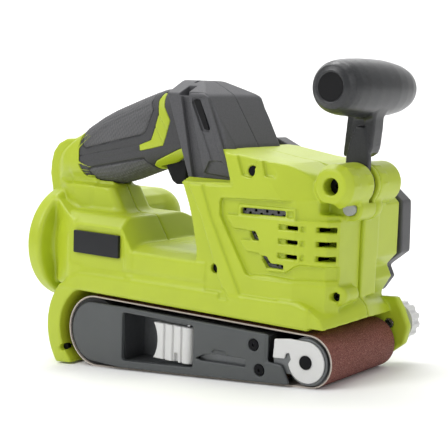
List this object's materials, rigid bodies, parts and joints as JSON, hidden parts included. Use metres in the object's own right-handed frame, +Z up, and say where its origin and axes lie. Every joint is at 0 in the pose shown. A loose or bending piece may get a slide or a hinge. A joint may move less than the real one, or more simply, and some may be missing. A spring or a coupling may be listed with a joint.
{
  "type": "handheld belt sander",
  "caption": "Cordless handheld belt sander with rear pistol-loop handle, tilting front T-handle, belt tension lever and tracking knob.",
  "frame": {"origin": "on the sanding face, midway between the two roller axes, at the middle of the belt's width", "axes": "+X towards the nose, +Y to the drive-cover side, +Z up from the sanding face"},
  "size_m": [0.2815, 0.1155, 0.1899],
  "materials": {
    "lime_shell": "satin moulded",
    "dark_shell": "satin moulded",
    "soft_grip": "textured overmould",
    "black_plastic": "matt",
    "light_plastic": "satin",
    "plate_grey": "satin moulded",
    "steel": "turned",
    "silver": "satin",
    "aluminium_cast": "as cast",
    "abrasive": "aluminium oxide grit on cloth",
    "black_rubber": "matt",
    "cork": "pressed cork",
    "board_green": "solder mask",
    "copper": "enamelled winding",
    "bronze": "sintered",
    "black_steel": "black oxide"
  },
  "bodies": {
    "housing": {"housing_right": "lime_shell", "housing_left": "lime_shell", "head_cap_right": "dark_shell", "head_cap_left": "dark_shell", "cap_insert": "black_plastic", "grip_right": "soft_grip", "grip_left": "soft_grip", "grip_accents": "lime_shell", "trigger_guard": "lime_shell", "switch_body": "black_plastic", "battery_terminals": "black_plastic", "control_board": "board_green", "belt_frame": "aluminium_cast", "side_plate": "plate_grey", "side_plate_screws": "black_steel", "platen_pad": "cork", "platen": "steel", "sanding_belt": "abrasive", "drive_bearings": "steel", "motor_can": "steel", "motor_bearings": "steel", "drive_cover": "dark_shell", "drive_cover_screws": "steel", "vent_mesh": "dark_shell", "dust_port": "dark_shell", "housing_screws": "black_steel", "name_plate": "black_plastic", "timing_belt": "black_rubber", "handle_bolt": "steel", "lever_pin": "steel", "tension_spring": "steel", "trigger_spring": "steel"},
    "trigger": {"trigger": "black_plastic"},
    "lock_on_button": {"lock_on_button": "black_plastic"},
    "front_handle": {"front_handle_arm": "dark_shell", "front_handle_grip": "soft_grip", "front_handle_cap": "black_plastic"},
    "handle_lock_button": {"handle_lock_button": "silver"},
    "tension_lever": {"tension_lever": "light_plastic"},
    "front_carriage": {"front_yoke": "plate_grey", "axle_clip": "light_plastic", "front_axle": "steel", "tension_rod": "steel"},
    "tracking_knob": {"tracking_knob": "light_plastic", "tracking_screw": "steel"},
    "drive_roller": {"drive_roller": "black_rubber", "drive_shaft": "steel", "driven_pulley": "aluminium_cast"},
    "front_roller": {"front_roller": "aluminium_cast", "roller_bushes": "bronze"},
    "motor_rotor": {"motor_rotor": "copper", "motor_shaft": "steel", "cooling_fan": "black_plastic", "motor_pulley": "aluminium_cast"}
  },
  "joints": [
    {"name": "trigger_pull", "type": "slide", "parent": "housing", "child": "trigger", "axis": [0.0958, 0, 0.9954], "range_m": [0, 0.004], "stiffness_N_per_m": 900, "springref_m": -0.002, "deforming": ["trigger_spring"]},
    {"name": "lock_on_press", "type": "slide", "parent": "housing", "child": "lock_on_button", "axis": [0, -1, 0], "range_m": [0, 0.002], "stiffness_N_per_m": 500, "springref_m": -0.001},
    {"name": "front_handle_tilt", "type": "hinge", "parent": "housing", "child": "front_handle", "pos_m": [0.10188, -0.005, 0.11697], "axis": [0, 1, 0], "range_deg": [0, 90]},
    {"name": "handle_lock_press", "type": "slide", "parent": "housing", "child": "handle_lock_button", "axis": [0, 1, 0], "range_m": [0, 0.004], "stiffness_N_per_m": 700, "springref_m": -0.001},
    {"name": "tension_lever_swing", "type": "hinge", "parent": "housing", "child": "tension_lever", "pos_m": [-0.00554, -0.0363, 0.01962], "axis": [0.0958, 0, 0.9954], "range_deg": [0, 95]},
    {"name": "front_roller_retract", "type": "slide", "parent": "housing", "child": "front_carriage", "axis": [-1, 0, 0], "range_m": [0, 0.003], "deforming": ["tension_spring"]},
    {"name": "tracking_knob_turn", "type": "hinge", "parent": "housing", "child": "tracking_knob", "pos_m": [0.094, 0.052, 0.027], "axis": [0, 1, 0], "range_deg": [-180, 180]},
    {"name": "drive_roller_spin", "type": "hinge", "parent": "housing", "child": "drive_roller", "pos_m": [-0.0838, 0, 0.0238], "axis": [0, 1, 0], "continuous": true},
    {"name": "front_roller_spin", "type": "hinge", "parent": "front_carriage", "child": "front_roller", "pos_m": [0.0838, 0, 0.0158], "axis": [0, 1, 0], "continuous": true},
    {"name": "motor_spin", "type": "hinge", "parent": "housing", "child": "motor_rotor", "pos_m": [0.05461, 0, 0.08717], "axis": [0, 1, 0], "continuous": true}
  ],
  "couplings": [
    {"joint": "tension_lever_swing", "follows": "front_roller_retract", "rad_per_m": 552.6},
    {"joint": "front_roller_spin", "follows": "drive_roller_spin", "ratio": 1.5229},
    {"joint": "motor_spin", "follows": "drive_roller_spin", "ratio": 1.875}
  ]
}
